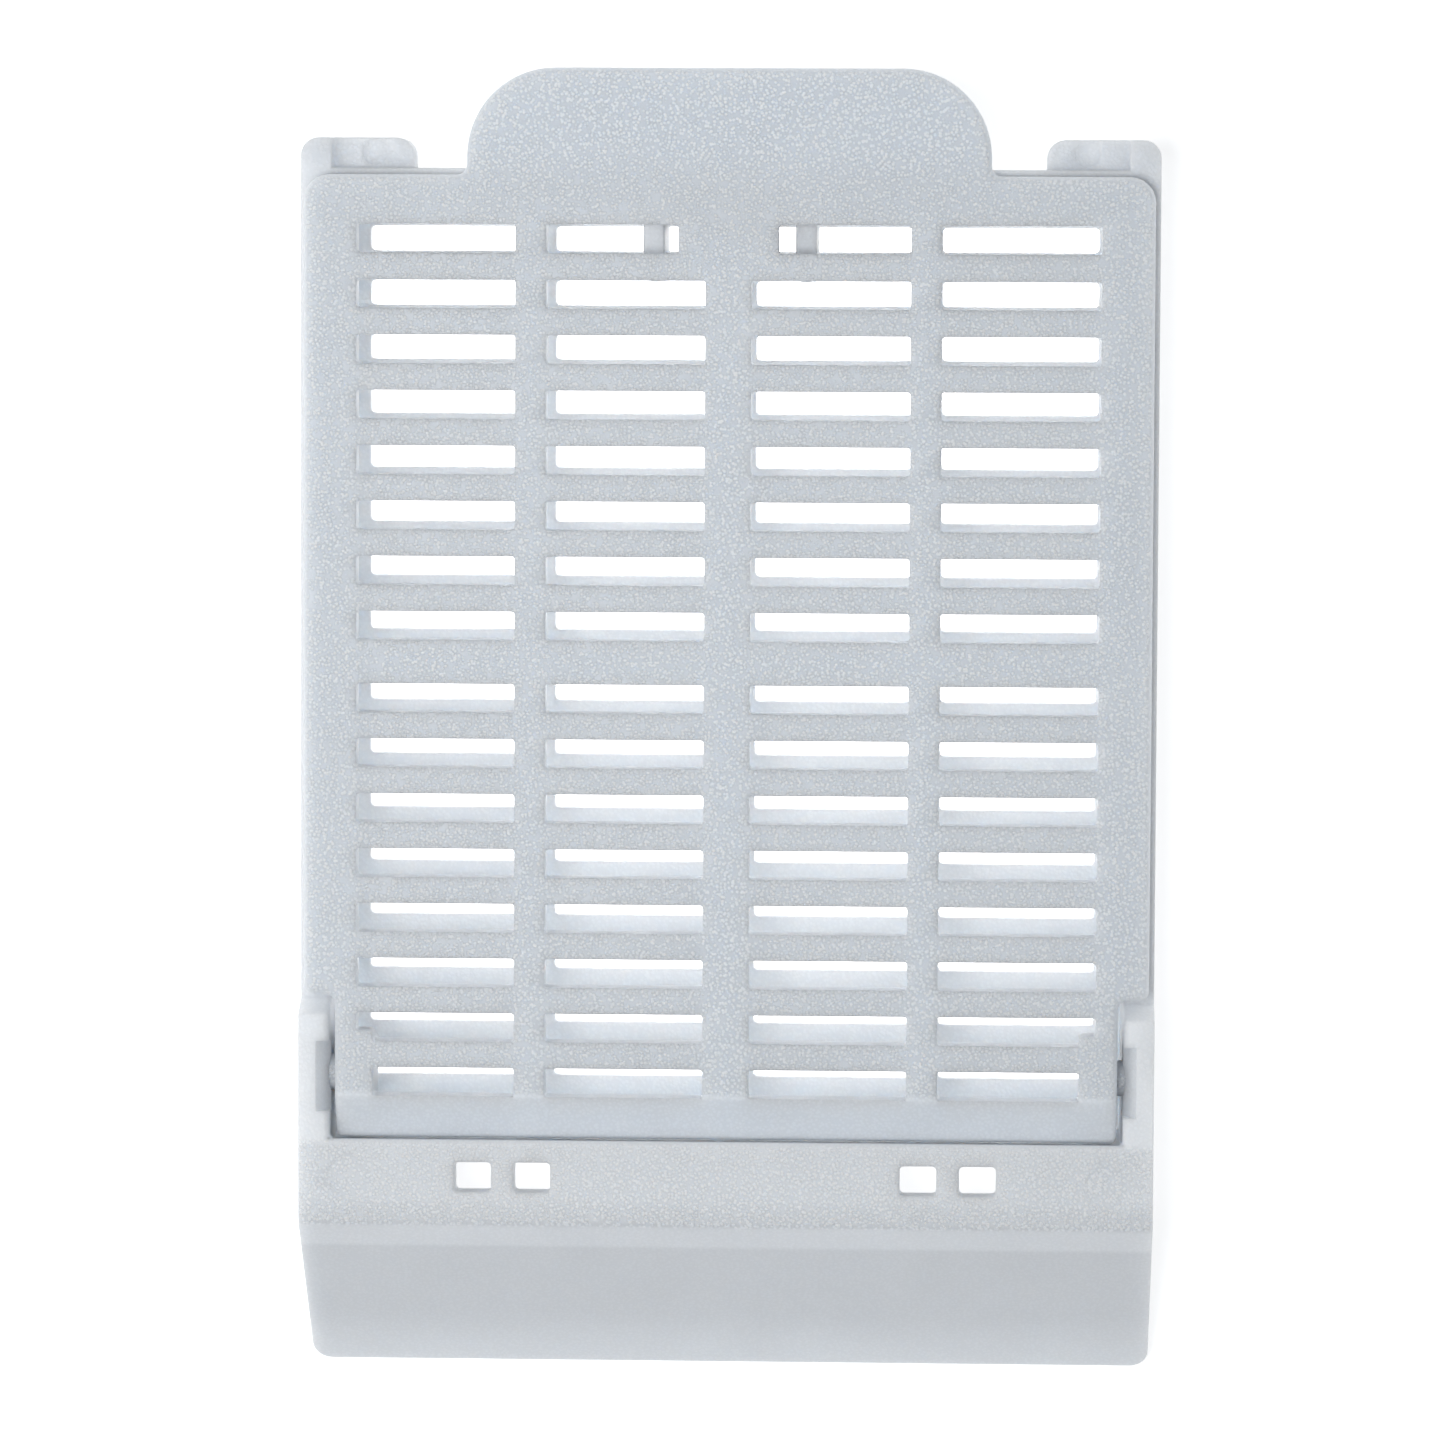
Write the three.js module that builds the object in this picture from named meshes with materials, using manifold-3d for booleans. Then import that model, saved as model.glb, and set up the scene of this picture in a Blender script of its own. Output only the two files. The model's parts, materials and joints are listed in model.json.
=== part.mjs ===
// Two-piece snap-lid processing cassette: an open tray with a slotted floor and a sloped
// writing panel, and a slotted lid that swings on two pins at the front of the tray.
// Millimetres, +Z up, origin at the centre of the footprint. +Y points to the thumb tab at
// the back, -Y to the writing panel at the front, and X runs across, along the pivot.

import * as THREE from 'three';
import { mergeVertices } from 'three/addons/utils/BufferGeometryUtils.js';
import Module from 'manifold-3d';

// ---- Driving dimensions ----------------------------------------------------------------

const WIDTH = 28.5; // tray, outside
const LENGTH = 43.9; // foot of the writing panel to the back of the thumb tab
const LID_TOP = 6.4; // top of the closed lid
const LEDGE_TOP = 6.3; // ledge behind the writing panel, and the pivot ears
const RIM_TOP = 5.3; // tray walls under the lid
const FLOOR = 0.95; // floor thickness
const LID_PLATE = 1.0; // lid thickness
const SIDE_WALL = 1.03;
const BACK_WALL = 1.0;
const FRONT_WALL = 0.6; // between the tray and the hollow under the ledge
const TRAY_CORNER = 0.6; // the tray's four upright corners

const FRONT_Y = -LENGTH / 2; // foot of the writing panel
const TAB_Y = LENGTH / 2; // back of the thumb tab
const LID_BACK_Y = TAB_Y - 3.53;
const BACK_WALL_Y = LID_BACK_Y + 0.23; // outer face of the back wall
const LUG_Y = BACK_WALL_Y + 1.0; // back of the stacking lugs
const TRAY_FRONT_Y = -13.8; // inner face at the front of the tray
const LEDGE_BACK_Y = -13.62; // top edge of the ledge, which leans back over the lid's nose

// The writing panel slopes at 45 degrees over an upright foot. It is a thin wall over a hollow.
const PANEL_FOOT = 0.79;
const PANEL_TOP_Y = FRONT_Y + LEDGE_TOP - PANEL_FOOT;
const PANEL_WALL = 1.0; // ledge, measured straight down
const PANEL_DROP = 1.35; // sloped panel, measured straight down
const HOLLOW_FRONT_Y = FRONT_Y + 1.35;

const SLOT = { length: 5.26, centreBar: 1.52, innerBar: 1.02, pitch: 1.83, middleStep: 2.402 };
const SLOT_BACK_Y = 16.8; // back edge of the first row
const ROWS = 16;
const LID_SLOT_WIDTH = 0.945;
const FLOOR_SLOT_WIDTH = 0.82;
const LATCH_STRIP_HALF = 1.65; // solid strip over the latch tongue, in the first row

const LID_HALF = 14.05;
const LID_CORNER = 0.9;
const LID_NECK_HALF = 13.02; // lid between the pivot ears
const WING_END_Y = -8.8;
const TAB_HALF = 8.65;
const TAB_CORNER = 2.9;

const PIVOT = { y: -11.55, z: 4.9, pin: 0.6, hole: 0.72, tipX: 14.1 };
const LEAD_IN = { x: 13.66, half: 1.18, bottom: 5.45 }; // sloped notch over each ear's hole
const NOSE = { y: -12.2, frontY: -13.7, thickness: 0.95, bend: 5.0, bottom: 4.55 };
const NOSE_CORNER = [[-13.6, 5.64], [-13.67, 5.4], [NOSE.frontY, 5.2]]; // clears the ledge
const CHEEK = { x: 11.75, backY: -9.99, bottomY: [-10.45, -12.35], bottom: 3.75 };

const RAMP_Y = [-9.0, PIVOT.y + LEAD_IN.half]; // the rim rises to the pivot ears
const LUG = { innerX: 10.48, bottom: 3.7, top: 5.0, corner: 0.62 };
const RIB = { x: 2.53, width: 0.7, noseY: 14.9, top: 5.0 };
const CATCH = { half: 1.5, depth: 0.42, bottom: 4.1, top: 4.7 };
const TONGUE = { half: 1.5, y: [16.25, 16.95], bottom: 3.0 };
const BARB = { depth: 0.2, bottom: 3.1, top: 3.95 };
const LEDGE_HOLE = { starts: [5.82, 7.8], width: 1.22, length: 1.0, corner: 0.18 };

// ---- Solids from three.js geometries ---------------------------------------------------

const wasm = await Module();
wasm.setup();

function solid(geometry) {
  for (const name of Object.keys(geometry.attributes)) {
    if (name !== 'position') geometry.deleteAttribute(name);
  }
  const merged = mergeVertices(geometry, 1e-4);
  return new wasm.Manifold(
    new wasm.Mesh({
      numProp: 3,
      vertProperties: new Float32Array(merged.attributes.position.array),
      triVerts: new Uint32Array(merged.index.array),
    }),
  );
}

const union = (parts) => parts.reduce((whole, part) => whole.add(part));
const cut = (body, tools) => tools.reduce((rest, tool) => rest.subtract(tool), body);

function box([x0, x1], [y0, y1], [z0, z1]) {
  const geometry = new THREE.BoxGeometry(x1 - x0, y1 - y0, z1 - z0);
  return solid(geometry.translate((x0 + x1) / 2, (y0 + y1) / 2, (z0 + z1) / 2));
}

// An outline in plan, a THREE.Shape in X and Y, standing from z0 to z1.
function upright(shape, [z0, z1]) {
  const options = { depth: z1 - z0, bevelEnabled: false, curveSegments: 7 };
  return solid(new THREE.ExtrudeGeometry(shape, options).translate(0, 0, z0));
}

// A side outline, a THREE.Shape in Y and Z, running from x0 to x1.
function across(shape, [x0, x1]) {
  const options = { depth: x1 - x0, bevelEnabled: false, curveSegments: 7 };
  const shapeToPart = new THREE.Matrix4().makeBasis(
    new THREE.Vector3(0, 1, 0),
    new THREE.Vector3(0, 0, 1),
    new THREE.Vector3(1, 0, 0),
  );
  const geometry = new THREE.ExtrudeGeometry(shape, options).applyMatrix4(shapeToPart);
  return solid(geometry.translate(x0, 0, 0));
}

// A round bar or bore on the pivot axis.
function pivotRod(radius, [x0, x1]) {
  const geometry = new THREE.CylinderGeometry(radius, radius, x1 - x0, 28);
  geometry.rotateZ(Math.PI / 2);
  return solid(geometry.translate((x0 + x1) / 2, PIVOT.y, PIVOT.z));
}

const polygon = (points) => new THREE.Shape(points.map(([a, b]) => new THREE.Vector2(a, b)));

function roundedRectangle([x0, x1], [y0, y1], radius) {
  const shape = new THREE.Shape();
  shape.absarc(x1 - radius, y0 + radius, radius, -Math.PI / 2, 0, false);
  shape.absarc(x1 - radius, y1 - radius, radius, 0, Math.PI / 2, false);
  shape.absarc(x0 + radius, y1 - radius, radius, Math.PI / 2, Math.PI, false);
  shape.absarc(x0 + radius, y0 + radius, radius, Math.PI, Math.PI * 1.5, false);
  shape.closePath();
  return shape;
}

const SIDES = [1, -1];
const BURIED = 0.2; // how far a joined feature reaches into its neighbour
const CUT_PAST = 0.2; // how far a cutter runs past the faces that it cuts
const onSide = (side, [a, b]) => (side > 0 ? [a, b] : [-b, -a]);

// ---- Slots -----------------------------------------------------------------------------

const INNER_SLOT = [SLOT.centreBar / 2, SLOT.centreBar / 2 + SLOT.length];
const OUTER_SLOT = INNER_SLOT.map((x) => x + SLOT.length + SLOT.innerBar);

// The back edge of each row. The rows stand in two banks with a wider bar between them.
function rowBackY(row) {
  const bank = row < ROWS / 2 ? 0 : 1;
  return SLOT_BACK_Y - row * SLOT.pitch - bank * (SLOT.middleStep - SLOT.pitch);
}

// Cutters for both sides of a row, about the same middle line in the lid and in the floor.
function slotCutters(row, width, columns, [bottom, top]) {
  const middle = rowBackY(row) - LID_SLOT_WIDTH / 2;
  const spanY = [middle - width / 2, middle + width / 2];
  const spanZ = [bottom - CUT_PAST, top + CUT_PAST];
  return SIDES.flatMap((side) => columns.map((span) => box(onSide(side, span), spanY, spanZ)));
}

const lidColumns = (row) => [row ? INNER_SLOT : [LATCH_STRIP_HALF, INNER_SLOT[1]], OUTER_SLOT];

const rowNumbers = Array.from({ length: ROWS }, (_, row) => row);

// ---- Tray ------------------------------------------------------------------------------

const FRONT_WALL_Y = TRAY_FRONT_Y - FRONT_WALL;
const BACK_INNER_Y = BACK_WALL_Y - BACK_WALL;
const SIDE_INNER_X = WIDTH / 2 - SIDE_WALL;
const FULL_WIDTH = [-WIDTH / 2, WIDTH / 2];

function trayFloor() {
  const plate = box(FULL_WIDTH, [FRONT_WALL_Y, BACK_WALL_Y], [0, FLOOR]);
  const columns = [INNER_SLOT, OUTER_SLOT];
  return cut(
    plate,
    rowNumbers.flatMap((row) => slotCutters(row, FLOOR_SLOT_WIDTH, columns, [0, FLOOR])),
  );
}

// A side wall runs the whole length, from the foot of the panel to the back of the lug.
function sideWall(side) {
  const outline = polygon([
    [FRONT_Y, 0],
    [LUG_Y, 0],
    [LUG_Y, RIM_TOP],
    [RAMP_Y[0], RIM_TOP],
    [RAMP_Y[1], LEDGE_TOP],
    [PANEL_TOP_Y, LEDGE_TOP],
    [FRONT_Y, PANEL_FOOT],
  ]);
  return across(outline, onSide(side, [SIDE_INNER_X, WIDTH / 2]));
}

// The ledge and the writing panel are one bent wall, open underneath.
function panelWall() {
  const slopedUnderside = (y) => LEDGE_TOP - PANEL_DROP - (PANEL_TOP_Y - y);
  const ledgeUnderside = LEDGE_TOP - PANEL_WALL;
  const bendY = PANEL_TOP_Y + PANEL_DROP - PANEL_WALL;
  const outline = polygon([
    [FRONT_Y, 0],
    [HOLLOW_FRONT_Y, 0],
    [HOLLOW_FRONT_Y, slopedUnderside(HOLLOW_FRONT_Y)],
    [bendY, ledgeUnderside],
    [TRAY_FRONT_Y, ledgeUnderside],
    [LEDGE_BACK_Y, LEDGE_TOP],
    [PANEL_TOP_Y, LEDGE_TOP],
    [FRONT_Y, PANEL_FOOT],
  ]);
  return across(outline, FULL_WIDTH);
}

function ledgeHoles() {
  const spanY = [FRONT_WALL_Y - LEDGE_HOLE.length, FRONT_WALL_Y];
  const spanZ = [LEDGE_TOP - PANEL_WALL - BURIED, LEDGE_TOP + BURIED];
  return LEDGE_HOLE.starts.flatMap((x) =>
    SIDES.map((side) => {
      const spanX = onSide(side, [x, x + LEDGE_HOLE.width]);
      return upright(roundedRectangle(spanX, spanY, LEDGE_HOLE.corner), spanZ);
    }),
  );
}

// A lug is a short flange on the back wall, between the side wall's end and its own round corner.
function lug(side) {
  const spanX = onSide(side, [LUG.innerX, WIDTH / 2 - SIDE_WALL / 2]);
  const spanY = [BACK_WALL_Y - LUG.corner - BURIED, LUG_Y];
  return upright(roundedRectangle(spanX, spanY, LUG.corner), [LUG.bottom, LUG.top]);
}

// A rib on each side of the latch guides the tongue. Its nose is round.
function latchRib(side) {
  const spanX = onSide(side, [RIB.x - RIB.width / 2, RIB.x + RIB.width / 2]);
  const spanY = [RIB.noseY, BACK_INNER_Y + BURIED + RIB.width];
  return upright(roundedRectangle(spanX, spanY, RIB.width / 2 - 0.01), [FLOOR - BURIED, RIB.top]);
}

// The catch is a wedge on the back wall that the lid's barb snaps under.
function latchCatch() {
  const outline = polygon([
    [BACK_INNER_Y - CATCH.depth, CATCH.bottom],
    [BACK_INNER_Y + BURIED, CATCH.bottom],
    [BACK_INNER_Y + BURIED, CATCH.top + CATCH.depth],
    [BACK_INNER_Y, CATCH.top + CATCH.depth],
    [BACK_INNER_Y - CATCH.depth, CATCH.top],
  ]);
  return across(outline, [-CATCH.half, CATCH.half]);
}

// Each ear holds a round hole, with a sloped notch above it that guides the pin in.
function earCuts(side) {
  const notch = new THREE.Shape();
  const inner = SIDE_INNER_X - BURIED;
  const top = LEDGE_TOP + BURIED;
  const steepness = (LEDGE_TOP - LEAD_IN.bottom) / (LEAD_IN.x - SIDE_INNER_X);
  notch.moveTo(inner, LEAD_IN.bottom - BURIED * steepness);
  notch.lineTo(LEAD_IN.x + BURIED / steepness, top);
  notch.lineTo(inner, top);
  notch.closePath();
  const length = 2 * LEAD_IN.half;
  const geometry = new THREE.ExtrudeGeometry(notch, { depth: length, bevelEnabled: false });
  geometry.rotateX(Math.PI / 2);
  geometry.translate(0, PIVOT.y + LEAD_IN.half, 0);
  if (side < 0) geometry.rotateZ(Math.PI).translate(0, 2 * PIVOT.y, 0);
  return [solid(geometry), pivotRod(PIVOT.hole, onSide(side, [SIDE_INNER_X - BURIED, WIDTH / 2 + BURIED]))];
}

function trayBody() {
  const backWall = box(FULL_WIDTH, [BACK_INNER_Y, BACK_WALL_Y], [0, RIM_TOP]);
  const frontWall = box(FULL_WIDTH, [FRONT_WALL_Y, TRAY_FRONT_Y], [0, LEDGE_TOP]);
  const features = SIDES.flatMap((side) => [sideWall(side), lug(side), latchRib(side)]);
  const whole = union([trayFloor(), backWall, frontWall, panelWall(), latchCatch(), ...features]);
  const footprint = upright(roundedRectangle(FULL_WIDTH, [FRONT_Y, LUG_Y], TRAY_CORNER), [0, LEDGE_TOP]);
  return cut(whole.intersect(footprint), [...ledgeHoles(), ...SIDES.flatMap(earCuts)]);
}

// ---- Lid -------------------------------------------------------------------------------

const LID_UNDER = LID_TOP - LID_PLATE;

function lidPlate() {
  const outline = new THREE.Shape();
  outline.moveTo(-LID_NECK_HALF, NOSE.y);
  outline.lineTo(LID_NECK_HALF, NOSE.y);
  outline.lineTo(LID_NECK_HALF, WING_END_Y);
  outline.lineTo(LID_HALF, WING_END_Y);
  const cornerX = LID_HALF - LID_CORNER;
  const cornerY = LID_BACK_Y - LID_CORNER;
  outline.absarc(cornerX, cornerY, LID_CORNER, 0, Math.PI / 2, false);
  outline.lineTo(TAB_HALF, LID_BACK_Y);
  const tabX = TAB_HALF - TAB_CORNER;
  const tabY = TAB_Y - TAB_CORNER;
  outline.absarc(tabX, tabY, TAB_CORNER, 0, Math.PI / 2, false);
  outline.absarc(-tabX, tabY, TAB_CORNER, Math.PI / 2, Math.PI, false);
  outline.lineTo(-TAB_HALF, LID_BACK_Y);
  outline.absarc(-cornerX, cornerY, LID_CORNER, Math.PI / 2, Math.PI, false);
  outline.lineTo(-LID_HALF, WING_END_Y);
  outline.lineTo(-LID_NECK_HALF, WING_END_Y);
  outline.closePath();
  const spanZ = [LID_UNDER, LID_TOP];
  return cut(
    upright(outline, spanZ),
    rowNumbers.flatMap((row) => slotCutters(row, LID_SLOT_WIDTH, lidColumns(row), spanZ)),
  );
}

// The front of the lid slopes down to the ledge and turns down behind it. Its corner follows a
// circle about the pins, so that it clears the ledge as the lid swings.
function lidNose() {
  const innerY = NOSE.frontY + NOSE.thickness;
  const outline = polygon([
    [NOSE.y + BURIED, LID_TOP],
    [NOSE.y, LID_TOP],
    ...NOSE_CORNER,
    [NOSE.frontY, NOSE.bottom],
    [innerY, NOSE.bottom],
    [innerY, NOSE.bend],
    [NOSE.y + BURIED, LID_UNDER + BURIED],
  ]);
  return across(outline, [-LID_NECK_HALF, LID_NECK_HALF]);
}

// A cheek closes each end of the nose and carries the pin. It reaches up through the plate, and
// so shortens the slots that it meets.
function pivotCheek(side) {
  const outline = polygon([
    [CHEEK.backY, LID_TOP],
    [CHEEK.backY, LID_UNDER],
    [CHEEK.bottomY[0], CHEEK.bottom],
    [CHEEK.bottomY[1], CHEEK.bottom],
    [NOSE.frontY + BURIED, NOSE.bottom],
    [NOSE.frontY + BURIED, NOSE.bend],
    [NOSE.y, LID_UNDER + BURIED],
    [NOSE.y, LID_TOP],
  ]);
  return across(outline, onSide(side, [CHEEK.x, LID_NECK_HALF]));
}

// The latch tongue hangs behind the first row, with a barb on its back face.
function latchTongue() {
  const outline = polygon([
    [TONGUE.y[0], LID_UNDER + BURIED],
    [TONGUE.y[0], TONGUE.bottom],
    [TONGUE.y[1], TONGUE.bottom],
    [TONGUE.y[1] + BARB.depth, BARB.bottom + BARB.depth],
    [TONGUE.y[1] + BARB.depth, BARB.top],
    [TONGUE.y[1], BARB.top],
    [TONGUE.y[1], LID_UNDER + BURIED],
  ]);
  return across(outline, [-TONGUE.half, TONGUE.half]);
}

function lidBody() {
  const pins = SIDES.map((side) =>
    pivotRod(PIVOT.pin, onSide(side, [LID_NECK_HALF - BURIED, PIVOT.tipX])),
  );
  return union([lidPlate(), lidNose(), latchTongue(), ...SIDES.map(pivotCheek), ...pins]);
}

// ---- Assembly --------------------------------------------------------------------------

function mesh(name, body, material) {
  const { vertProperties, triVerts } = body.getMesh();
  const geometry = new THREE.BufferGeometry();
  geometry.setAttribute('position', new THREE.BufferAttribute(vertProperties, 3));
  geometry.setIndex(new THREE.BufferAttribute(triVerts, 1));
  geometry.computeVertexNormals();
  const part = new THREE.Mesh(geometry, material);
  part.name = name;
  return part;
}

const trayPlastic = new THREE.MeshStandardMaterial({ color: 0xd9dde0, roughness: 0.5, metalness: 0 });
const lidPlastic = new THREE.MeshStandardMaterial({ color: 0xd3d8db, roughness: 0.6, metalness: 0 });

const cassette = new THREE.Group();
cassette.add(mesh('base', trayBody(), trayPlastic), mesh('lid', lidBody(), lidPlastic));

export default cassette;
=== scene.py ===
import json
import math

import bmesh
import bpy
from mathutils import Matrix, Vector


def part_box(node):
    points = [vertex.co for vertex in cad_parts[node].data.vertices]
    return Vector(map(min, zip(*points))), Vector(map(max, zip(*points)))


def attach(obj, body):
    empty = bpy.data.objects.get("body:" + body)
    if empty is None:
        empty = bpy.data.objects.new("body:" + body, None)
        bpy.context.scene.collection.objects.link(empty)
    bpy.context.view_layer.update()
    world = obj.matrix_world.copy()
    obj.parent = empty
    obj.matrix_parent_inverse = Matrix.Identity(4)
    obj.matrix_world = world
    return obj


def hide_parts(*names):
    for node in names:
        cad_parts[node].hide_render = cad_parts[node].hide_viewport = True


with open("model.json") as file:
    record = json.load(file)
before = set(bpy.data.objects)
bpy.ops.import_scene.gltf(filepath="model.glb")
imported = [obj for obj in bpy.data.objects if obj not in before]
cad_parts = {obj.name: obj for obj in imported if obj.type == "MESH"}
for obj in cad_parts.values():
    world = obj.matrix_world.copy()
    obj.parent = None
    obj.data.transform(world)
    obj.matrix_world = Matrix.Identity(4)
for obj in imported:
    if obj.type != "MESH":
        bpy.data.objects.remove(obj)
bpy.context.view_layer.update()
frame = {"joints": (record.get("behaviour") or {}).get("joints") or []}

# Everything below is worked out in millimetres and turned into metres once, by MM.
MM = 0.001

# ---- The frame's own measures ---------------------------------------------------------------

BASE_LOW, BASE_HIGH = (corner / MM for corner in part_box("base"))
LID_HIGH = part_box("lid")[1] / MM
HINGE = Vector(frame["joints"][0]["pos_m"]) / MM

# ---- Tray -----------------------------------------------------------------------------------

TRAY_HALF = BASE_HIGH.x
FRONT_Y = BASE_LOW.y
LUG_Y = BASE_HIGH.y
LEDGE_TOP = BASE_HIGH.z
LID_TOP = LID_HIGH.z
TAB_Y = LID_HIGH.y

RIM_TOP = LEDGE_TOP - 1.0
FLOOR = 0.95
SIDE_INNER = TRAY_HALF - 1.03
BACK_WALL_Y = LUG_Y - 1.0
BACK_INNER_Y = BACK_WALL_Y - 1.0
TRAY_FRONT_Y = HINGE.y - 2.25
LEDGE_BACK_Y = TRAY_FRONT_Y + 0.18
FRONT_WALL_Y = TRAY_FRONT_Y - 0.6
PANEL_FOOT = 0.79
PANEL_TOP_Y = FRONT_Y + LEDGE_TOP - PANEL_FOOT
PANEL_DROP = 1.35
BEND_Y = PANEL_TOP_Y + PANEL_DROP - 1.0
HOLLOW_FRONT_Y = FRONT_Y + 1.35

LUG_INNER = 10.48
LUG_BOTTOM, LUG_TOP = 3.7, 5.0
RIB = (2.18, 2.88)
RAMP_BACK_Y = -9.0
RAMP_FRONT_Y = HINGE.y + 1.18
LEAD_IN_X = 13.66
LEAD_IN_BOTTOM = 5.45
LEAD_IN_HALF = 1.18
PIN_RADIUS, HOLE_RADIUS = 0.6, 0.72
PIN_TIP_X = 14.1
HOLE_LIP, HOLE_FLARE = 0.07, 0.16
CATCH_HALF = 1.5
CATCH_REACH = 0.42
CATCH_BOTTOM, CATCH_SHOULDER, CATCH_TOP = 4.1, 4.7, 5.12
LEDGE_HOLES = ((5.82, 7.04), (7.8, 9.02))
LEDGE_HOLE_Y = (FRONT_WALL_Y - 1.0, FRONT_WALL_Y)

# A cutter runs this far past the faces it cuts. Over that distance the lead-in's slope rises by
# LEAD_IN_RISE. A piece that is joined on starts JOIN_DEPTH inside the other.
OVERRUN = 0.1
LEAD_IN_RISE = 0.193
JOIN_DEPTH = 0.3

# ---- Slots ----------------------------------------------------------------------------------

ROWS = 16
SLOT_BACK_Y = 16.8
PITCH = 1.83
MIDDLE_STEP = 2.402
LID_SLOT = 0.945
FLOOR_SLOT = 0.82
INNER_SLOT = (0.76, 6.02)
OUTER_SLOT = (7.04, 12.30)
LATCH_STRIP = 1.65

# ---- Lid ------------------------------------------------------------------------------------

LID_UNDER = LID_TOP - 1.0
LID_HALF = 14.05
NECK_HALF = 13.02
WING_END_Y = -8.8
LID_BACK_Y = TAB_Y - 3.53
TAB_HALF = 8.65
TAB_CORNER = 2.9
NOSE_Y = HINGE.y - 0.65
NOSE_BOTTOM = 4.55
CHEEK_X = 11.75
CHEEK_BACK_Y = -9.99
TONGUE_Y = (16.25, 16.95)
TONGUE_HALF = 1.5
TONGUE_BOTTOM = 3.0
BARB = 0.2
BARB_FOOT, BARB_TOP = 3.1, 3.95

# Lengths closer than this are taken to be the same one.
NEAR = 0.01


def row_middle(row):
    bank = 0 if row < ROWS // 2 else 1
    return SLOT_BACK_Y - row * PITCH - bank * (MIDDLE_STEP - PITCH) - LID_SLOT / 2


def row_span(row, width):
    return row_middle(row) - width / 2, row_middle(row) + width / 2


def between(value, span):
    return span[0] < value < span[1]


def near(value, target):
    return abs(value - target) < NEAR


# ---- Solids from a lattice of cells -----------------------------------------------------------


def mirrored(values):
    return sorted({v for value in values for v in (-value, value)})


def lattice(xs, ys, zs, filled, place):
    """A closed bmesh of quads around the filled cells between the cut lines, in metres."""
    xs, ys, zs = sorted(set(xs)), sorted(set(ys)), sorted(set(zs))
    counts = (len(xs) - 1, len(ys) - 1, len(zs) - 1)
    bm = bmesh.new()
    points = {}

    def solid(cell):
        if any(not 0 <= c < n for c, n in zip(cell, counts)):
            return False
        i, j, k = cell
        return filled((xs[i] + xs[i + 1]) / 2, (ys[j] + ys[j + 1]) / 2, (zs[k] + zs[k + 1]) / 2)

    def point(index):
        if index not in points:
            spot = place(xs[index[0]], ys[index[1]], zs[index[2]])
            points[index] = bm.verts.new([MM * c for c in spot])
        return points[index]

    cells = [(i, j, k) for i in range(counts[0]) for j in range(counts[1]) for k in range(counts[2])]
    full = {cell for cell in cells if solid(cell)}
    for cell in sorted(full):
        for axis in range(3):
            for end in (0, 1):
                beyond = list(cell)
                beyond[axis] += 2 * end - 1
                if tuple(beyond) in full:
                    continue
                a, b = (axis + 1) % 3, (axis + 2) % 3
                ring = [(0, 0), (1, 0), (1, 1), (0, 1)]
                if end == 0:
                    ring.reverse()
                corners = []
                for da, db in ring:
                    corner = list(cell)
                    corner[axis] += end
                    corner[a] += da
                    corner[b] += db
                    corners.append(point(tuple(corner)))
                bm.faces.new(corners)
    bmesh.ops.remove_doubles(bm, verts=bm.verts, dist=1e-7)
    bmesh.ops.dissolve_degenerate(bm, edges=bm.edges, dist=1e-7)
    return bm


def edge_ends(edge):
    """The places of an edge's two ends, in millimetres."""
    return [v.co / MM for v in edge.verts]


def upright(edge):
    """Whether an edge is vertical and its faces turn by nearly a right angle."""
    a, b = edge_ends(edge)
    return abs(a.x - b.x) < 1e-3 and abs(a.y - b.y) < 1e-3 and edge.calc_face_angle(0) > 1.2


def round_edges(bm, chosen, radius, segments):
    """Rounds the edges that chosen(edge) picks, to a radius in millimetres."""
    bm.normal_update()
    picked = [e for e in bm.edges if chosen(e)]
    bmesh.ops.bevel(
        bm, geom=picked, offset=radius * MM, segments=segments, profile=0.5,
        affect="EDGES", clamp_overlap=False,
    )
    bmesh.ops.remove_doubles(bm, verts=bm.verts, dist=0.001 * MM)
    bmesh.ops.dissolve_degenerate(bm, edges=bm.edges, dist=0.0005 * MM)


def sharp(edge):
    """Whether an edge's two faces turn by more than 33 degrees."""
    return len(edge.link_faces) == 2 and edge.calc_face_angle(0) > math.radians(33)


def as_object(name, bm):
    mesh = bpy.data.meshes.new(name)
    bmesh.ops.recalc_face_normals(bm, faces=bm.faces)
    bm.to_mesh(mesh)
    bm.free()
    obj = bpy.data.objects.new(name, mesh)
    bpy.context.scene.collection.objects.link(obj)
    return obj


def combine(target, tool, operation):
    """Joins or cuts target by tool with an exact boolean, and removes the tool."""
    modifier = target.modifiers.new("Combine", "BOOLEAN")
    modifier.object = tool
    modifier.operation = operation
    modifier.solver = "EXACT"
    bpy.context.view_layer.update()
    depsgraph = bpy.context.evaluated_depsgraph_get()
    joined = bpy.data.meshes.new_from_object(target.evaluated_get(depsgraph))
    target.modifiers.clear()
    target.data = joined
    bpy.data.objects.remove(tool)


def turned(name, profile, centre, axis, sides=40):
    """A solid of revolution from (distance along the axis, radius) pairs, about a line through
    centre along X or Z."""
    bm = bmesh.new()
    rings = []
    for along, radius in profile:
        ring = []
        for i in range(sides):
            turn = 2 * math.pi * i / sides
            u, v = radius * math.cos(turn), radius * math.sin(turn)
            offset = Vector((along, u, v)) if axis == "X" else Vector((u, v, along))
            ring.append(bm.verts.new((Vector(centre) + offset) * MM))
        rings.append(ring)
    for low, high in zip(rings, rings[1:]):
        for i in range(sides):
            j = (i + 1) % sides
            bm.faces.new((low[i], low[j], high[j], high[i]))
    bm.faces.new(rings[0])
    bm.faces.new(rings[-1])
    return as_object(name, bm)


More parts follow.
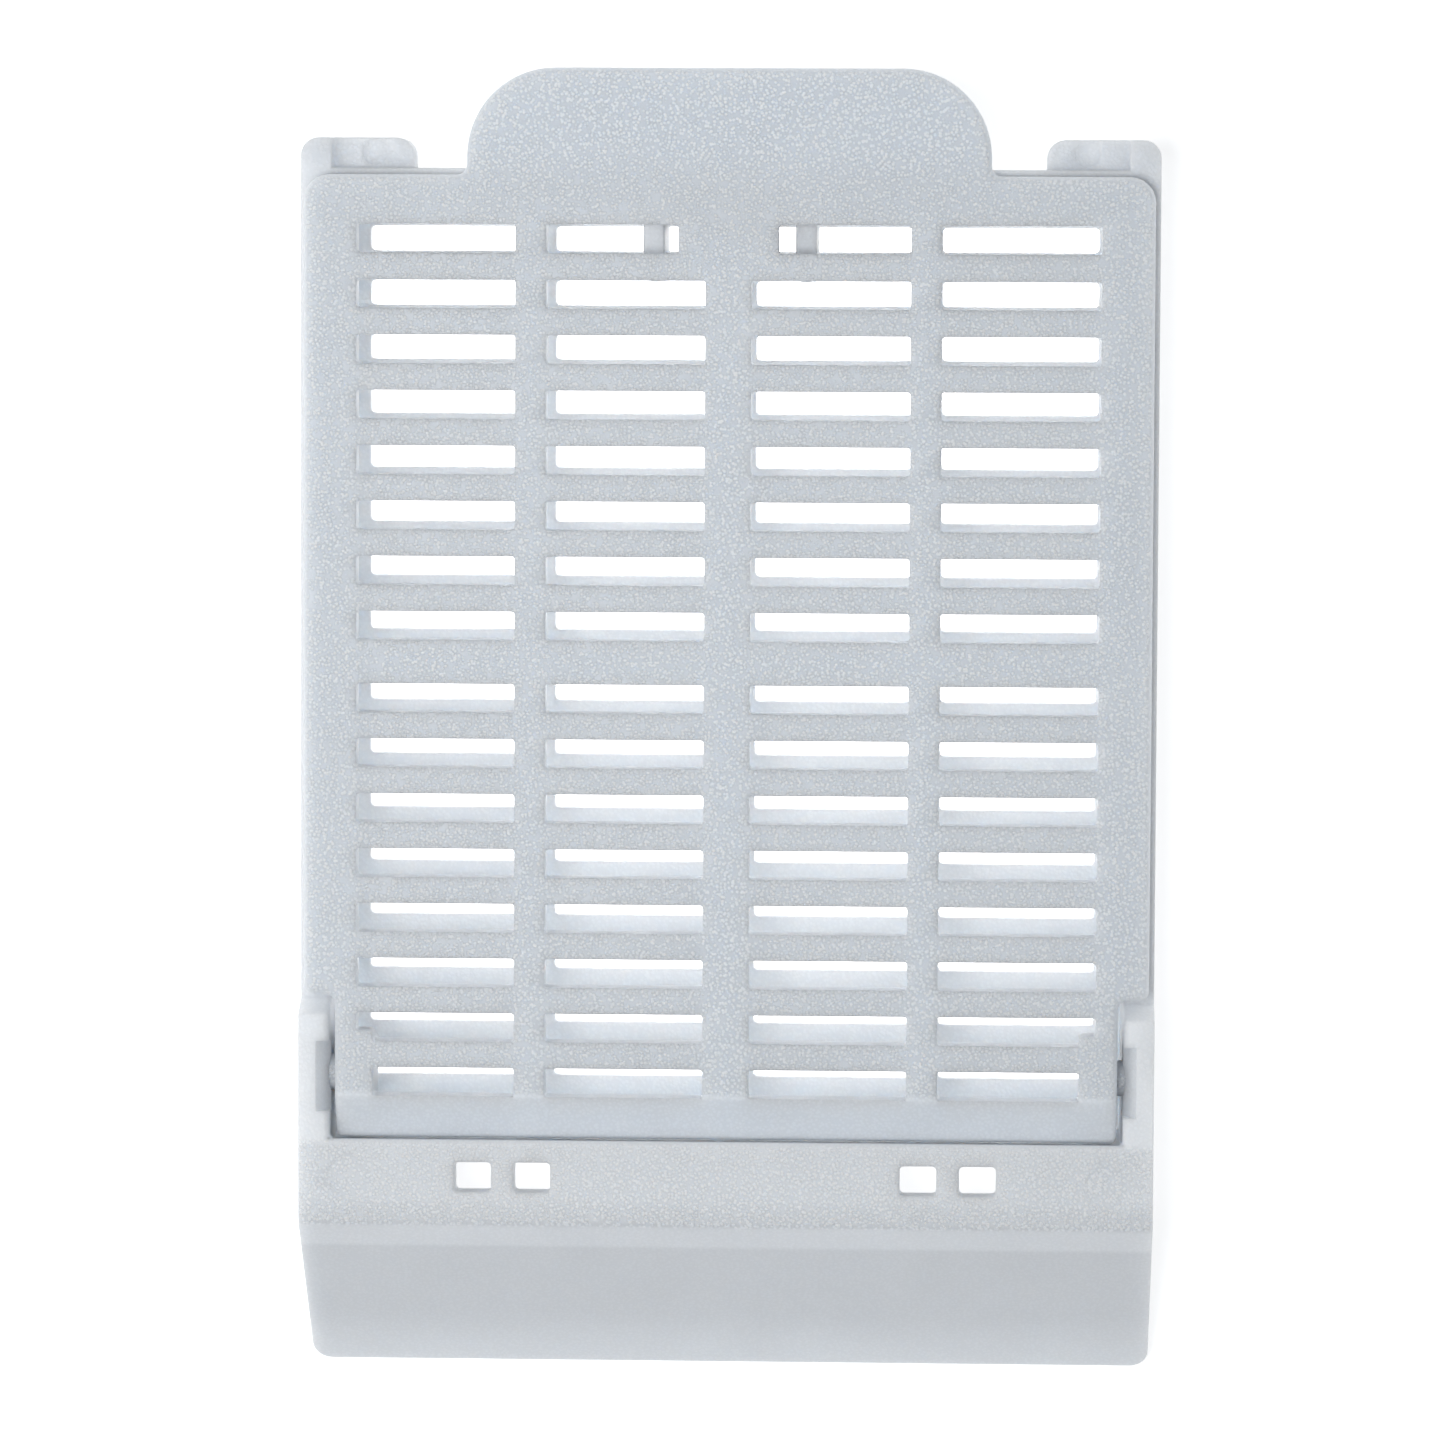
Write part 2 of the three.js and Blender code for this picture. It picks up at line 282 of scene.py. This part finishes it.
def prism(name, outline, span, axis="X", bevel=0.0):
    """An outline extruded over span: (y, z) points along X, or (x, z) points along Y."""
    bm = bmesh.new()
    ends = []
    for along in span:
        spots = [(along, a, b) if axis == "X" else (a, along, b) for a, b in outline]
        ends.append([bm.verts.new([MM * c for c in spot]) for spot in spots])
    bm.faces.new(ends[0])
    bm.faces.new(ends[1])
    for i, start in enumerate(ends[0]):
        after = (i + 1) % len(outline)
        bm.faces.new((start, ends[1][i], ends[1][after], ends[0][after]))
    bmesh.ops.recalc_face_normals(bm, faces=bm.faces)
    if bevel:
        round_edges(bm, sharp, bevel, 2)
    return as_object(name, bm)


# ---- Base -----------------------------------------------------------------------------------


def sloped_top(y):
    return LEDGE_TOP + min(0.0, y - PANEL_TOP_Y)


def base_height(y, z):
    """Height of a lattice line: flat in the tray, sloping down under the writing panel."""
    if y <= FRONT_Y + 1e-6:
        return z / LEDGE_TOP * PANEL_FOOT
    if y <= BEND_Y:
        under = min(RIM_TOP, LEDGE_TOP - PANEL_DROP + y - PANEL_TOP_Y)
        return sloped_top(y) if z > RIM_TOP + 1e-6 else z * under / RIM_TOP
    if z > RIM_TOP and y > RAMP_BACK_Y - 1e-6:
        return RIM_TOP
    return z


def base_place(x, y, z):
    """Where a lattice point lies. The ledge's top edge leans back over the lid's nose."""
    leans_back = abs(y - TRAY_FRONT_Y) < 1e-6 and z > RIM_TOP
    return x, LEDGE_BACK_Y if leans_back else y, base_height(y, z)


# Shallow round marks that the moulding pins left: (x, y, height of the face, radius). Their section
# goes from the bottom out past the face: (height above the face, distance outside the radius).
EJECTOR_MARKS = (
    (-12.53, -14.9, LEDGE_TOP, 0.72), (12.7, -15.05, LEDGE_TOP, 0.72),
    (-11.8, BACK_WALL_Y + 0.52, LUG_TOP, 0.43), (11.8, BACK_WALL_Y + 0.52, LUG_TOP, 0.43),
)
MARK_SECTION = ((-0.045, -0.05), (-0.03, -0.02), (0.02, 0.05))

FLOOR_ROWS = [row_span(row, FLOOR_SLOT) for row in range(ROWS)]
RIB_Y = (FLOOR_ROWS[1][1], BACK_INNER_Y)


def in_floor_slot(x, y):
    across = between(abs(x), INNER_SLOT) or between(abs(x), OUTER_SLOT)
    return across and any(between(y, span) for span in FLOOR_ROWS)


def base_filled(x, y, z):
    side = abs(x) > SIDE_INNER
    if y > BACK_WALL_Y:
        on_lug = abs(x) > LUG_INNER and between(z, (LUG_BOTTOM, LUG_TOP))
        return z < RIM_TOP and (side or on_lug)
    if z > RIM_TOP:
        if y > TRAY_FRONT_Y:
            return side and y < RAMP_BACK_Y
        in_hole = any(between(abs(x), span) for span in LEDGE_HOLES) and between(y, LEDGE_HOLE_Y)
        return not in_hole
    if side or y < HOLLOW_FRONT_Y:
        return True
    if y < FRONT_WALL_Y:
        return False
    if y < TRAY_FRONT_Y or y > BACK_INNER_Y:
        return True
    if z < FLOOR:
        return not in_floor_slot(x, y)
    return between(abs(x), RIB) and between(y, RIB_Y) and z < LUG_TOP


def base_mesh():
    xs = mirrored([
        *INNER_SLOT, *OUTER_SLOT, *RIB, *LEDGE_HOLES[0], *LEDGE_HOLES[1],
        LUG_INNER, SIDE_INNER, TRAY_HALF,
    ])
    ys = [
        FRONT_Y, HOLLOW_FRONT_Y, PANEL_TOP_Y, BEND_Y, *LEDGE_HOLE_Y, TRAY_FRONT_Y,
        RAMP_FRONT_Y, RAMP_BACK_Y, BACK_INNER_Y, BACK_WALL_Y, LUG_Y,
        *(edge for span in FLOOR_ROWS for edge in span),
    ]
    zs = [0.0, FLOOR, LUG_BOTTOM, LUG_TOP, RIM_TOP, LEDGE_TOP]
    bm = lattice(xs, ys, zs, base_filled, base_place)

    def outer_corner(edge):
        a, _ = edge_ends(edge)
        at_end = near(a.y, LUG_Y) or near(a.y, FRONT_Y)
        return upright(edge) and at_end and near(abs(a.x), TRAY_HALF)

    def lug_corner(edge):
        a, _ = edge_ends(edge)
        return upright(edge) and near(a.y, LUG_Y) and near(abs(a.x), LUG_INNER)

    def slot_corner(edge):
        a, b = edge_ends(edge)
        in_tray = FRONT_WALL_Y + 0.1 < a.y < BACK_INNER_Y - 0.1
        return upright(edge) and in_tray and max(a.z, b.z) < FLOOR + NEAR

    def rib_nose(edge):
        a, b = edge_ends(edge)
        high = min(a.z, b.z) > FLOOR - NEAR and near(a.y, RIB_Y[0])
        return upright(edge) and high and any(near(abs(a.x), r) for r in RIB)

    def hole_corner(edge):
        a, b = edge_ends(edge)
        high = min(a.z, b.z) > RIM_TOP - 0.4 and any(near(a.y, y) for y in LEDGE_HOLE_Y)
        return upright(edge) and high and LEDGE_HOLES[0][0] - 0.1 < abs(a.x) < LEDGE_HOLES[1][1] + 0.1

    def ledge_front(edge):
        a, b = edge_ends(edge)
        flat = all(near(p.y, PANEL_TOP_Y) and p.z > LEDGE_TOP - NEAR for p in (a, b))
        return flat and abs(a.x - b.x) > 1e-3

    def ledge_back(edge):
        """The ledge's top edge over the lid's nose, and the inner top edge of each ear."""
        ends = edge_ends(edge)
        at_ledge = all(near(p.y, LEDGE_BACK_Y) and p.z > LEDGE_TOP - NEAR for p in ends)
        at_side = all(near(abs(p.x), SIDE_INNER) and p.z > RIM_TOP - NEAR for p in ends)
        on_ear = all(TRAY_FRONT_Y - NEAR < p.y < RAMP_BACK_Y + NEAR for p in ends)
        return sharp(edge) and (at_ledge or (at_side and on_ear))

    def lug_step(edge):
        """The inside corner between a lug and the side wall beside it."""
        ends = edge_ends(edge)
        on_lug = all(near(p.z, LUG_TOP) and p.y > BACK_WALL_Y - NEAR for p in ends)
        return sharp(edge) and on_lug and all(near(abs(p.x), SIDE_INNER) for p in ends)

    round_edges(bm, lambda e: outer_corner(e) or lug_corner(e), 0.6, 6)
    round_edges(bm, lug_step, 0.24, 4)
    round_edges(bm, lambda e: slot_corner(e) or hole_corner(e), 0.14, 3)
    round_edges(bm, rib_nose, 0.33, 4)
    round_edges(bm, ledge_front, 0.28, 4)
    round_edges(bm, ledge_back, 0.2, 4)
    round_edges(bm, sharp, 0.06, 2)
    shell = as_object("base_shell", bm)

    tip, root = BACK_INNER_Y - CATCH_REACH, BACK_INNER_Y + JOIN_DEPTH
    catch = [
        (tip, CATCH_BOTTOM), (root, CATCH_BOTTOM), (root, CATCH_TOP),
        (BACK_INNER_Y, CATCH_TOP), (tip, CATCH_SHOULDER),
    ]
    combine(shell, prism("catch", catch, (-CATCH_HALF, CATCH_HALF), bevel=0.04), "UNION")
    for side in (1, -1):
        inside, outside = side * (SIDE_INNER - OVERRUN), side * (TRAY_HALF + OVERRUN)
        notch = [
            (inside, LEAD_IN_BOTTOM - LEAD_IN_RISE),
            (side * (LEAD_IN_X + OVERRUN), LEDGE_TOP + LEAD_IN_RISE),
            (inside, LEDGE_TOP + LEAD_IN_RISE),
        ]
        span = (HINGE.y - LEAD_IN_HALF, HINGE.y + LEAD_IN_HALF)
        combine(shell, prism("lead_in", notch, span, axis="Y"), "DIFFERENCE")
        bore = [
            (inside, HOLE_RADIUS + HOLE_FLARE), (side * (SIDE_INNER + HOLE_LIP), HOLE_RADIUS),
            (side * (TRAY_HALF - HOLE_LIP), HOLE_RADIUS), (outside, HOLE_RADIUS + HOLE_FLARE),
        ]
        combine(shell, turned("bore", bore, (0, HINGE.y, HINGE.z), "X", 56), "DIFFERENCE")
    for x, y, z, radius in EJECTOR_MARKS:
        mark = [(z + above, radius + beyond) for above, beyond in MARK_SECTION]
        combine(shell, turned("mark", mark, (x, y, 0), "Z", 48), "DIFFERENCE")
    return shell


# ---- Lid ------------------------------------------------------------------------------------

# The (y, z) path of the nose's outer and inner faces, from the plate's flat top to the drop
# behind the ledge. The corner follows a circle about the pins.
NOSE_PATH = (
    ((-12.3, 6.355), (-12.3, 5.36)), ((-12.9, 6.02), (-12.5, 5.22)),
    ((-13.5, 5.69), (-12.66, 5.09)), ((-13.565, 5.64), (-12.7, 5.06)),
    ((-13.62, 5.56), (-12.72, 5.04)), ((-13.665, 5.42), (-12.73, 5.02)),
    ((-13.695, 5.22), (-12.74, 5.0)), ((-13.7, 5.1), (-12.75, 4.95)),
    ((-13.7, NOSE_BOTTOM), (-12.75, NOSE_BOTTOM)),
)
NOSE_STEP = 0.1
NOSE_LINES = [NOSE_Y - NOSE_STEP * (step + 1) for step in range(len(NOSE_PATH))]


def nose_place(y, z):
    """Bends the lattice's front lines, which are NOSE_STEP apart, along the nose's path."""
    outer, inner = NOSE_PATH[round((NOSE_Y - y) / NOSE_STEP) - 1]
    return outer if z > LID_UNDER else inner


def lid_place(x, y, z):
    if y < NOSE_Y:
        return (x, *nose_place(y, z))
    return x, y, z


LID_ROWS = [row_span(row, LID_SLOT) for row in range(ROWS)]


def in_lid_slot(x, y):
    for row, span in enumerate(LID_ROWS):
        if between(y, span):
            inner = (LATCH_STRIP if row == 0 else INNER_SLOT[0], INNER_SLOT[1])
            over_cheek = abs(x) > CHEEK_X and y < CHEEK_BACK_Y
            return between(abs(x), inner) or (between(abs(x), OUTER_SLOT) and not over_cheek)
    return False


def lid_filled(x, y, z):
    if y > LID_BACK_Y:
        return abs(x) < TAB_HALF
    if y < WING_END_Y:
        return abs(x) < NECK_HALF and not in_lid_slot(x, y)
    return not in_lid_slot(x, y)


def lid_mesh():
    xs = mirrored([
        *INNER_SLOT, *OUTER_SLOT, LATCH_STRIP, CHEEK_X, NECK_HALF, LID_HALF, TAB_HALF,
    ])
    ys = [
        *NOSE_LINES, NOSE_Y, CHEEK_BACK_Y, WING_END_Y, LID_BACK_Y, TAB_Y,
        *(edge for span in LID_ROWS for edge in span),
    ]
    bm = lattice(xs, ys, [LID_UNDER, LID_TOP], lid_filled, lid_place)

    def plate_corner(edge):
        a, _ = edge_ends(edge)
        return upright(edge) and near(a.y, LID_BACK_Y) and near(abs(a.x), LID_HALF)

    def tab_corner(edge):
        a, _ = edge_ends(edge)
        return upright(edge) and near(a.y, TAB_Y)

    def wing_corner(edge):
        a, _ = edge_ends(edge)
        return upright(edge) and near(a.y, WING_END_Y) and abs(a.x) > NECK_HALF - NEAR

    def tab_root(edge):
        a, _ = edge_ends(edge)
        return upright(edge) and near(a.y, LID_BACK_Y) and near(abs(a.x), TAB_HALF)

    def slot_corner(edge):
        a, _ = edge_ends(edge)
        return upright(edge) and abs(a.x) < OUTER_SLOT[1] + NEAR and NOSE_Y < a.y < LID_BACK_Y - 0.1

    def rim(edge):
        """The top edge all round the lid, but not round its slots, and the nose's two ends."""
        if not sharp(edge):
            return False
        ends = edge_ends(edge)
        top = all(p.z > LID_TOP - NEAR for p in ends)
        outside = any(abs(p.x) > OUTER_SLOT[1] + 0.1 or p.y > SLOT_BACK_Y + 0.2 for p in ends)
        bent = all(p.y < NOSE_Y - 0.6 or p.z > LID_TOP - 0.1 for p in ends)
        on_nose = all(p.y < NOSE_Y + NEAR and abs(p.x) > NECK_HALF - NEAR for p in ends)
        return (top and outside) or (on_nose and bent and max(p.z for p in ends) > HINGE.z)

    tab = [v for v in bm.verts if v.co.y > (LID_BACK_Y + NEAR) * MM]
    across_tab = {e for v in tab for e in v.link_edges}
    bmesh.ops.dissolve_limit(bm, angle_limit=0.01, verts=tab, edges=list(across_tab))
    round_edges(bm, tab_corner, TAB_CORNER, 14)
    round_edges(bm, plate_corner, 0.85, 6)
    round_edges(bm, lambda e: wing_corner(e) or tab_root(e), 0.34, 4)
    round_edges(bm, slot_corner, 0.1, 3)
    round_edges(bm, rim, 0.2, 4)
    round_edges(bm, sharp, 0.03, 2)
    return as_object("lid_shell", bm)


def tongue_mesh():
    """The latch tongue, with its barb on the back."""
    front, back = TONGUE_Y
    root = LID_UNDER + JOIN_DEPTH
    outline = [
        (front, root), (front, TONGUE_BOTTOM), (back, TONGUE_BOTTOM), (back + BARB, BARB_FOOT + BARB),
        (back + BARB, BARB_TOP), (back, BARB_TOP), (back, root),
    ]
    return prism("lid_tongue", outline, (-TONGUE_HALF, TONGUE_HALF), bevel=0.05)


# How far a cheek lies inside the plate's inner, outer and top faces, and its lowest height.
CHEEK_INNER_INSET, CHEEK_OUTER_INSET, CHEEK_TOP_INSET = 0.03, 0.02, 0.06
CHEEK_BOTTOM = 3.75
CHEEK_FRONT_Y = -13.5

# The rounded end of a pin: (distance from its tip, distance inside its radius).
PIN_END = ((0.22, 0.0), (0.1, 0.05), (0.03, 0.14), (0.0, 0.26))
PIN_ROOT = 0.4


def cheek_mesh(name, side):
    """One end of the nose, with its pin. Its edges lie just inside the plate's."""
    back, top = CHEEK_BACK_Y - CHEEK_INNER_INSET, LID_TOP - CHEEK_TOP_INSET
    outline = [
        (back, top), (back, LID_UNDER), (-10.45, CHEEK_BOTTOM), (-12.35, CHEEK_BOTTOM),
        (CHEEK_FRONT_Y, NOSE_BOTTOM + 0.05), (CHEEK_FRONT_Y, HINGE.z),
        (NOSE_Y - 0.2, LID_UNDER + 0.2), (NOSE_Y, top),
    ]
    span = (side * (CHEEK_X + CHEEK_INNER_INSET), side * (NECK_HALF - CHEEK_OUTER_INSET))
    cheek = prism(name, outline, span, bevel=0.08)
    pin = [(side * (NECK_HALF - PIN_ROOT), PIN_RADIUS)]
    pin += [(side * (PIN_TIP_X - behind), PIN_RADIUS - inside) for behind, inside in PIN_END]
    combine(cheek, turned("pin", pin, (0, HINGE.y, HINGE.z), "X"), "UNION")
    return cheek


# ---- Materials ------------------------------------------------------------------------------


def link(tree, source, target):
    tree.links.new(source, target)


def texture(tree, kind, coordinates, grain, output):
    """A texture whose features are about grain millimetres across."""
    node = tree.nodes.new(kind)
    node.inputs["Scale"].default_value = 1.0 / (grain * MM)
    link(tree, coordinates, node.inputs["Vector"])
    return node.outputs[output]


def ramp(tree, value, low, high):
    """0 below low and 1 above high, or the other way round if low is the larger."""
    node = tree.nodes.new("ShaderNodeMapRange")
    node.interpolation_type = "SMOOTHSTEP"
    for name, setting in (("From Min", low), ("From Max", high), ("To Min", 0.0), ("To Max", 1.0)):
        node.inputs[name].default_value = setting
    if low > high:
        node.inputs["From Min"].default_value, node.inputs["From Max"].default_value = high, low
        node.inputs["To Min"].default_value, node.inputs["To Max"].default_value = 1.0, 0.0
    link(tree, value, node.inputs["Value"])
    return node.outputs["Result"]


def maths(tree, operation, a, b):
    node = tree.nodes.new("ShaderNodeMath")
    node.operation = operation
    for socket, value in zip(node.inputs, (a, b)):
        if isinstance(value, (int, float)):
            socket.default_value = value
        else:
            link(tree, value, socket)
    return node.outputs["Value"]


class Surface:
    """Where a material is on its piece: place in metres, and which way the face looks."""

    def __init__(self, tree):
        coordinates = tree.nodes.new("ShaderNodeTexCoord")
        self.place = coordinates.outputs["Object"]
        axes = tree.nodes.new("ShaderNodeSeparateXYZ")
        link(tree, self.place, axes.inputs["Vector"])
        self.x, self.y, self.z = axes.outputs
        facing = tree.nodes.new("ShaderNodeSeparateXYZ")
        link(tree, coordinates.outputs["Normal"], facing.inputs["Vector"])
        self.up = ramp(tree, facing.outputs["Z"], 0.8, 0.97)


# Where the plastic changes, in millimetres: it changes from none at the first value to full at the
# second. The lid's texture stops before the nose. The ledge's starts behind it and is coarser along
# the ledge's front edge. Painted shade darkens the colour above the floor and down the panel, and
# painted light takes most of it off again just above the rim, on the ears and the ledge.
LID_GRAIN_Y = (-12.15, -11.95)
LEDGE_GRAIN_Y = (-13.6, -13.9)
COARSE_GRAIN_Y = (-15.6, -16.1)
WALL_Z = (1.1, 3.0)
EAR_Z = (5.32, 5.5)
PANEL_Y = (-16.3, -16.5)
LEDGE_GRAIN = 1.25
# How much painted shade darkens the walls and the panel, and how much of it painted light takes back
# on the ears.
WALL_PAINTED_SHADE, EAR_PAINTED_LIGHT, PANEL_PAINTED_SHADE = 0.09, 0.08, 0.1


def across(tree, place, span):
    """0 before a span in millimetres and 1 beyond it."""
    return ramp(tree, place, span[0] * MM, span[1] * MM)


def lid_zones(tree, at):
    """Spark texture on the lid's top, and a smooth nose. The colour is even."""
    return maths(tree, "MULTIPLY", at.up, across(tree, at.y, LID_GRAIN_Y)), None


def base_zones(tree, at):
    """Spark texture on the ledge, coarser along its front edge. Painted shading makes the walls, lugs
    and panel a little darker than the thin floor, and painted light takes most of it off the ears and
    the ledge."""
    ledge = maths(tree, "MULTIPLY", at.up, across(tree, at.y, LEDGE_GRAIN_Y))
    front = maths(tree, "MULTIPLY", ledge, across(tree, at.y, COARSE_GRAIN_Y))
    grain = maths(tree, "MULTIPLY", maths(tree, "ADD", ledge, front), LEDGE_GRAIN)
    # Painted shade on the walls and lugs above the floor.
    walls = maths(tree, "MULTIPLY", across(tree, at.z, WALL_Z), WALL_PAINTED_SHADE)
    # Painted light that takes most of that painted shade off again on the ears and the ledge.
    ears = maths(tree, "MULTIPLY", across(tree, at.z, EAR_Z), EAR_PAINTED_LIGHT)
    # Painted shade down the sloping front panel.
    panel = maths(tree, "MULTIPLY", across(tree, at.y, PANEL_Y), PANEL_PAINTED_SHADE)
    painted_shade = maths(tree, "ADD", maths(tree, "SUBTRACT", walls, ears), panel)
    return grain, painted_shade


LID_COLOUR = (0.82, 0.85, 0.89)
BASE_COLOUR = (0.93, 0.945, 0.965)
# The dark blue-grey that painted shade mixes into the plastic's colour.
PAINTED_SHADE_COLOUR = (0.02, 0.03, 0.05)

# The specks' light and dark colour is painted glint and painted pit shade for the spark-eroded
# relief, which their bump gives as well. The clouds are the plastic's random tone.
# Specks and clouds take the plastic from DIM times its own colour to that colour at full
# brightness. Specks are about SPECK_GRAIN millimetres apart. They end at the first of SPECK_EDGE and
# are full within the second, as parts of that spacing. Their mean is taken off, so that they don't
# change the colour as a whole. Outside the textured zones they keep SMOOTH_DEPTH of their depth.
DIM = 0.86
SPECK_GRAIN = 0.12
SPECK_EDGE = (0.65, 0.25)
SPECK_MEAN = 0.38
SMOOTH_DEPTH = 0.2
CLOUD_GRAIN = 3.0
CLOUD_COLOUR, CLOUD_GLOSS = 0.35, 0.12
ROUGHNESS = 0.42


def plastic(name, colour, depth, zones):
    """Translucent moulded acetal with a texture depth in millimetres. zones(tree, surface) says
    where the texture is deep, and how much painted shading darkens the colour."""
    material = bpy.data.materials.new(name)
    material.use_nodes = True
    tree = material.node_tree
    shader = tree.nodes["Principled BSDF"]
    at = Surface(tree)
    deep, painted_shade = zones(tree, at)
    where = maths(tree, "ADD", maths(tree, "MULTIPLY", deep, 1 - SMOOTH_DEPTH), SMOOTH_DEPTH)

    cells = texture(tree, "ShaderNodeTexVoronoi", at.place, SPECK_GRAIN, "Distance")
    spark = ramp(tree, cells, *SPECK_EDGE)
    cloud = texture(tree, "ShaderNodeTexNoise", at.place, CLOUD_GRAIN, "Fac")
    # Painted glint and pit shade of the specks, on top of their bump.
    speck_painted_glint = maths(tree, "MULTIPLY", maths(tree, "SUBTRACT", spark, SPECK_MEAN), where)
    drift = maths(tree, "MULTIPLY", maths(tree, "SUBTRACT", cloud, 0.5), CLOUD_COLOUR)
    mix = tree.nodes.new("ShaderNodeMix")
    mix.data_type = "RGBA"
    link(tree, maths(tree, "ADD", maths(tree, "ADD", speck_painted_glint, drift), 0.5), mix.inputs["Factor"])
    mix.inputs["A"].default_value = (*[c * DIM for c in colour], 1)
    mix.inputs["B"].default_value = (*[c / max(colour) for c in colour], 1)
    colour_and_painted_light = mix.outputs["Result"]
    # Painted shade from the zones darkens the colour here.
    if painted_shade:
        painted_shade_mix = tree.nodes.new("ShaderNodeMix")
        painted_shade_mix.data_type = "RGBA"
        link(tree, painted_shade, painted_shade_mix.inputs["Factor"])
        link(tree, colour_and_painted_light, painted_shade_mix.inputs["A"])
        painted_shade_mix.inputs["B"].default_value = (*PAINTED_SHADE_COLOUR, 1)
        colour_and_painted_light = painted_shade_mix.outputs["Result"]
    link(tree, colour_and_painted_light, shader.inputs["Base Color"])

    bump = tree.nodes.new("ShaderNodeBump")
    bump.inputs["Strength"].default_value = 1.0
    bump.inputs["Distance"].default_value = depth * MM
    link(tree, maths(tree, "MULTIPLY", spark, where), bump.inputs["Height"])
    link(tree, bump.outputs["Normal"], shader.inputs["Normal"])

    gloss = maths(tree, "MULTIPLY", cloud, CLOUD_GLOSS)
    gloss = maths(tree, "ADD", gloss, ROUGHNESS - CLOUD_GLOSS / 2)
    link(tree, gloss, shader.inputs["Roughness"])
    shader.inputs["IOR"].default_value = 1.48
    shader.inputs["Subsurface Weight"].default_value = 0.95
    shader.inputs["Subsurface Radius"].default_value = (1.0, 1.05, 1.1)
    shader.inputs["Subsurface Scale"].default_value = 0.8 * MM
    return material


def finish_piece(obj, body, node, material):
    obj.data.materials.clear()
    obj.data.materials.append(material)
    obj.data.shade_smooth()
    obj.data.set_sharp_from_angle(angle=math.radians(50))
    weighted = obj.modifiers.new("Flat faces", "WEIGHTED_NORMAL")
    weighted.keep_sharp = True
    weighted.weight = 80
    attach(obj, body)
    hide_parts(node)


# ---- Scene ----------------------------------------------------------------------------------

CAMERA_SPOT = Vector((8.3, 16.2, LID_TOP + 218.0)) * MM
CAMERA_AIM = Vector((-0.13, 0.37, LID_TOP)) * MM
CAMERA_LENS = 164.6
CAMERA_ROLL = math.radians(0.25)

SOFT_WHITE = (0.94, 0.97, 1.0)

# Name, place and diameter in metres, power in watts and colour.
LIGHTS = (
    ("overhead", (-0.03, 0.0, 0.22), 0.06, 0.195, SOFT_WHITE),
    ("key", (-0.12, 0.0, 0.10), 0.06, 0.035, (0.97, 0.98, 1.0)),
)
WORLD_STRENGTH = 0.3

TABLE_RADIUS = 1.5
TABLE_Z, PAD_Z = -0.00004, -0.00002
TABLE_COLOUR, TABLE_GLOW = (1, 1, 1), 0.58
PAD_COLOUR, PAD_GLOW = (1.0, 0.98, 0.96), 1.7


def make_camera():
    camera = bpy.data.objects.new("camera", bpy.data.cameras.new("camera"))
    camera.data.lens = CAMERA_LENS
    camera.data.sensor_width = 36.0
    camera.data.clip_start = 0.01
    camera.data.clip_end = 10.0
    back = (CAMERA_SPOT - CAMERA_AIM).normalized()
    right = Vector((0, 1, 0)).cross(back).normalized()
    up = back.cross(right)
    right, up = (
        right * math.cos(CAMERA_ROLL) + up * math.sin(CAMERA_ROLL),
        up * math.cos(CAMERA_ROLL) - right * math.sin(CAMERA_ROLL),
    )
    turn = Matrix((right, up, back)).transposed().to_4x4()
    camera.matrix_world = Matrix.Translation(CAMERA_SPOT) @ turn
    bpy.context.scene.collection.objects.link(camera)
    bpy.context.scene.camera = camera


def area_light(name, spot, size, power, colour):
    """A round lamp that points at the origin."""
    light = bpy.data.lights.new(name, "AREA")
    light.shape = "DISK"
    light.size = size
    light.energy = power
    light.color = colour
    lamp = bpy.data.objects.new(name, light)
    lamp.location = spot
    lamp.rotation_euler = (-Vector(spot)).to_track_quat("-Z", "Y").to_euler()
    bpy.context.scene.collection.objects.link(lamp)


def pale(name, colour, glow):
    """Matt white that also glows a little, as a lit white ground does in a photo studio."""
    material = bpy.data.materials.new(name)
    material.use_nodes = True
    shader = material.node_tree.nodes["Principled BSDF"]
    shader.inputs["Base Color"].default_value = (0.9, 0.9, 0.9, 1)
    shader.inputs["Roughness"].default_value = 0.9
    shader.inputs["Emission Color"].default_value = (*colour, 1)
    shader.inputs["Emission Strength"].default_value = glow
    return material


def make_stage():
    """A white table with a brighter light pad just under the tray."""
    bm = bmesh.new()
    bmesh.ops.create_circle(bm, cap_ends=True, segments=96, radius=TABLE_RADIUS)
    table = as_object("table", bm)
    table.location.z = TABLE_Z
    table.data.materials.append(pale("pale table", TABLE_COLOUR, TABLE_GLOW))
    bm = bmesh.new()
    bmesh.ops.create_grid(bm, x_segments=1, y_segments=1, size=0.5)
    pad = as_object("pad", bm)
    pad.scale = (2 * SIDE_INNER * MM, (BACK_INNER_Y - TRAY_FRONT_Y) * MM, 1)
    pad.location = (0, (BACK_INNER_Y + TRAY_FRONT_Y) / 2 * MM, PAD_Z)
    pad.data.materials.append(pale("pale pad", PAD_COLOUR, PAD_GLOW))


def make_light():
    world = bpy.data.worlds.new("studio")
    world.use_nodes = True
    background = world.node_tree.nodes["Background"]
    background.inputs["Color"].default_value = (*SOFT_WHITE, 1)
    background.inputs["Strength"].default_value = WORLD_STRENGTH
    bpy.context.scene.world = world
    for light in LIGHTS:
        area_light(*light)
    bpy.context.scene.view_settings.view_transform = "Standard"


make_camera()
make_stage()
make_light()
base_acetal = plastic("base acetal", BASE_COLOUR, 0.03, base_zones)
lid_acetal = plastic("lid acetal", LID_COLOUR, 0.04, lid_zones)
finish_piece(base_mesh(), "base", "base", base_acetal)
lid_pieces = (
    lid_mesh(), tongue_mesh(), cheek_mesh("lid_cheek_right", 1), cheek_mesh("lid_cheek_left", -1),
)
for piece in lid_pieces:
    finish_piece(piece, "lid", "lid", lid_acetal)
